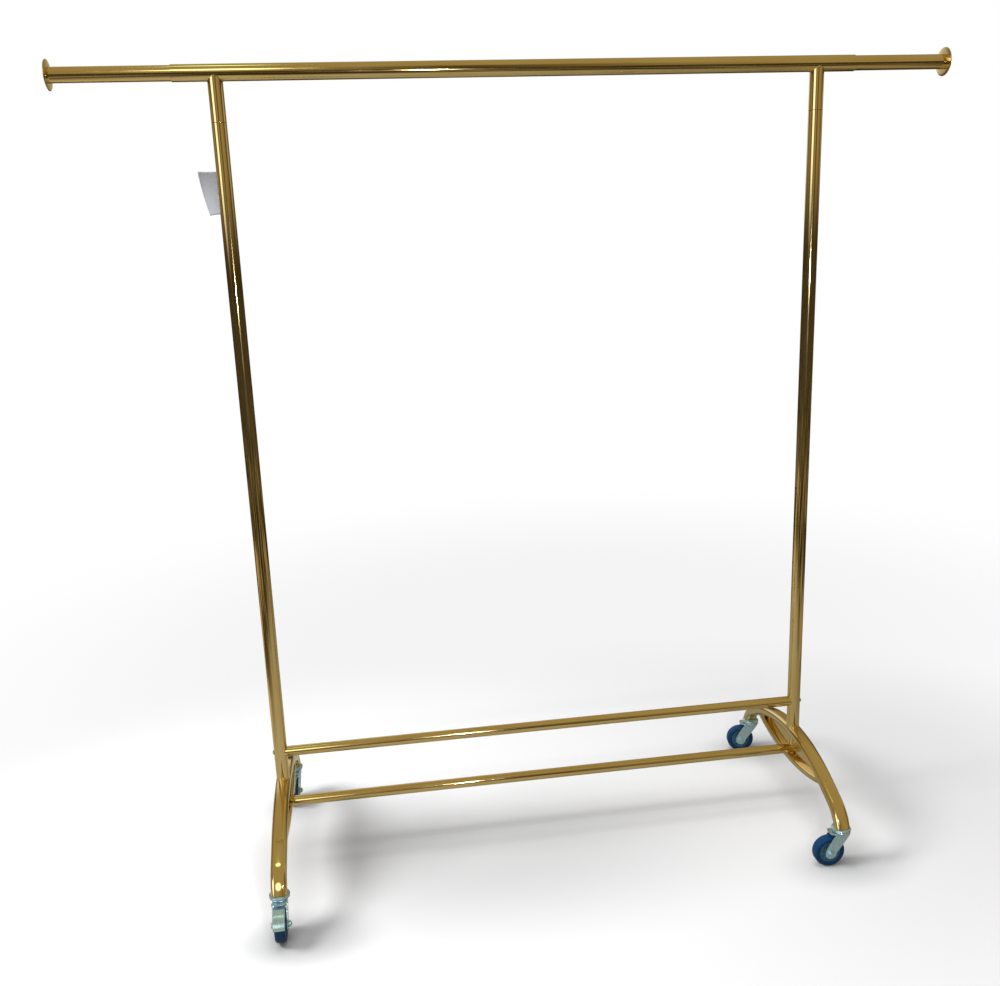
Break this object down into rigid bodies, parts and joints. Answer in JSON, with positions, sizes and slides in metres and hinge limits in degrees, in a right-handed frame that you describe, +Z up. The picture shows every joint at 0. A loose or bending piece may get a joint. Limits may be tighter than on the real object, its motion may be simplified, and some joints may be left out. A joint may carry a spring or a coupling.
{
  "type": "rolling garment rack",
  "caption": "Straight gold-finished garment rack with a pull-out tube at each end of its rail, arched legs, stretchers and swivel casters.",
  "frame": {"origin": "point on the floor midway between the two uprights", "axes": "+X along the hanging rail towards the upright with the accessory holes, +Y from the front towards the back, +Z up"},
  "size_m": [1.9652, 0.6733, 1.883],
  "materials": {
    "gold_steel": "mirror-bright gold-coloured plating on steel",
    "zinc_steel": "bright zinc-plated steel",
    "ball_steel": "polished steel balls",
    "tyre": "satin navy blue elastomer",
    "hub": "grey-blue moulded plastic",
    "paper": "matt white paper"
  },
  "bodies": {
    "frame": {"hang_rail": "gold_steel", "left_neck": "gold_steel", "right_neck": "gold_steel", "neck_screws": "gold_steel", "spigots": "zinc_steel", "left_upright": "gold_steel", "right_upright": "gold_steel", "left_leg_arch": "gold_steel", "right_leg_arch": "gold_steel", "left_leg_bow": "gold_steel", "right_leg_bow": "gold_steel", "left_leg_post": "gold_steel", "right_leg_post": "gold_steel", "left_leg_web": "gold_steel", "right_leg_web": "gold_steel", "upper_stretcher": "gold_steel", "lower_stretcher": "gold_steel", "stretcher_plugs": "zinc_steel", "stretcher_screws": "gold_steel", "leg_end_inserts": "zinc_steel", "price_label": "paper", "front_left_swivel_head": "zinc_steel", "front_right_swivel_head": "zinc_steel", "rear_left_swivel_head": "zinc_steel", "rear_right_swivel_head": "zinc_steel", "front_left_swivel_balls": "ball_steel", "front_right_swivel_balls": "ball_steel", "rear_left_swivel_balls": "ball_steel", "rear_right_swivel_balls": "ball_steel"},
    "left_pull_out": {"left_pull_out_tube": "gold_steel", "left_end_flange": "gold_steel", "left_latch_spring": "zinc_steel"},
    "left_latch": {"left_latch_button": "zinc_steel"},
    "right_pull_out": {"right_pull_out_tube": "gold_steel", "right_end_flange": "gold_steel", "right_latch_spring": "zinc_steel"},
    "right_latch": {"right_latch_button": "zinc_steel"},
    "front_left_fork": {"front_left_fork": "zinc_steel", "front_left_axle": "zinc_steel", "front_left_wheel_bush": "zinc_steel"},
    "front_left_wheel": {"front_left_hub": "hub", "front_left_tyre": "tyre"},
    "front_right_fork": {"front_right_fork": "zinc_steel", "front_right_axle": "zinc_steel", "front_right_wheel_bush": "zinc_steel"},
    "front_right_wheel": {"front_right_hub": "hub", "front_right_tyre": "tyre"},
    "rear_left_fork": {"rear_left_fork": "zinc_steel", "rear_left_axle": "zinc_steel", "rear_left_wheel_bush": "zinc_steel"},
    "rear_left_wheel": {"rear_left_hub": "hub", "rear_left_tyre": "tyre"},
    "rear_right_fork": {"rear_right_fork": "zinc_steel", "rear_right_axle": "zinc_steel", "rear_right_wheel_bush": "zinc_steel"},
    "rear_right_wheel": {"rear_right_hub": "hub", "rear_right_tyre": "tyre"},
    "front_left_brake": {"front_left_brake_pedal": "zinc_steel"},
    "rear_left_brake": {"rear_left_brake_pedal": "zinc_steel"}
  },
  "joints": [
    {"name": "left_pull_out_slide", "type": "slide", "parent": "frame", "child": "left_pull_out", "axis": [1, 0, 0], "range_m": [0, 0.2]},
    {"name": "left_latch_press", "type": "slide", "parent": "left_pull_out", "child": "left_latch", "axis": [0, 0, 1], "range_m": [-0.004, 0], "stiffness_N_per_m": 400, "springref_m": -0.004},
    {"name": "right_pull_out_slide", "type": "slide", "parent": "frame", "child": "right_pull_out", "axis": [-1, 0, 0], "range_m": [0, 0.2]},
    {"name": "right_latch_press", "type": "slide", "parent": "right_pull_out", "child": "right_latch", "axis": [0, 0, 1], "range_m": [-0.004, 0], "stiffness_N_per_m": 400, "springref_m": -0.004},
    {"name": "front_left_swivel", "type": "hinge", "parent": "frame", "child": "front_left_fork", "pos_m": [-0.6625, -0.2855, 0.0845], "axis": [0, 0, 1], "continuous": true},
    {"name": "front_left_wheel_spin", "type": "hinge", "parent": "front_left_fork", "child": "front_left_wheel", "pos_m": [-0.6625, -0.3155, 0.0375], "axis": [1, 0, 0], "continuous": true},
    {"name": "front_right_swivel", "type": "hinge", "parent": "frame", "child": "front_right_fork", "pos_m": [0.6625, -0.2855, 0.0845], "axis": [0, 0, 1], "continuous": true},
    {"name": "front_right_wheel_spin", "type": "hinge", "parent": "front_right_fork", "child": "front_right_wheel", "pos_m": [0.6325, -0.2855, 0.0375], "axis": [0, -1, 0], "continuous": true},
    {"name": "rear_left_swivel", "type": "hinge", "parent": "frame", "child": "rear_left_fork", "pos_m": [-0.6625, 0.2855, 0.0845], "axis": [0, 0, 1], "continuous": true},
    {"name": "rear_left_wheel_spin", "type": "hinge", "parent": "rear_left_fork", "child": "rear_left_wheel", "pos_m": [-0.66668, 0.25579, 0.0375], "axis": [0.9903, -0.1392, 0], "continuous": true},
    {"name": "rear_right_swivel", "type": "hinge", "parent": "frame", "child": "rear_right_fork", "pos_m": [0.6625, 0.2855, 0.0845], "axis": [0, 0, 1], "continuous": true},
    {"name": "rear_right_wheel_spin", "type": "hinge", "parent": "rear_right_fork", "child": "rear_right_wheel", "pos_m": [0.63296, 0.29071, 0.0375], "axis": [-0.1736, -0.9848, 0], "continuous": true},
    {"name": "front_left_brake_press", "type": "hinge", "parent": "front_left_fork", "child": "front_left_brake", "pos_m": [-0.6625, -0.3025, 0.079], "axis": [1, 0, 0], "range_deg": [0, 7]},
    {"name": "rear_left_brake_press", "type": "hinge", "parent": "rear_left_fork", "child": "rear_left_brake", "pos_m": [-0.66487, 0.26866, 0.079], "axis": [0.9903, -0.1392, 0], "range_deg": [0, 7]}
  ]
}
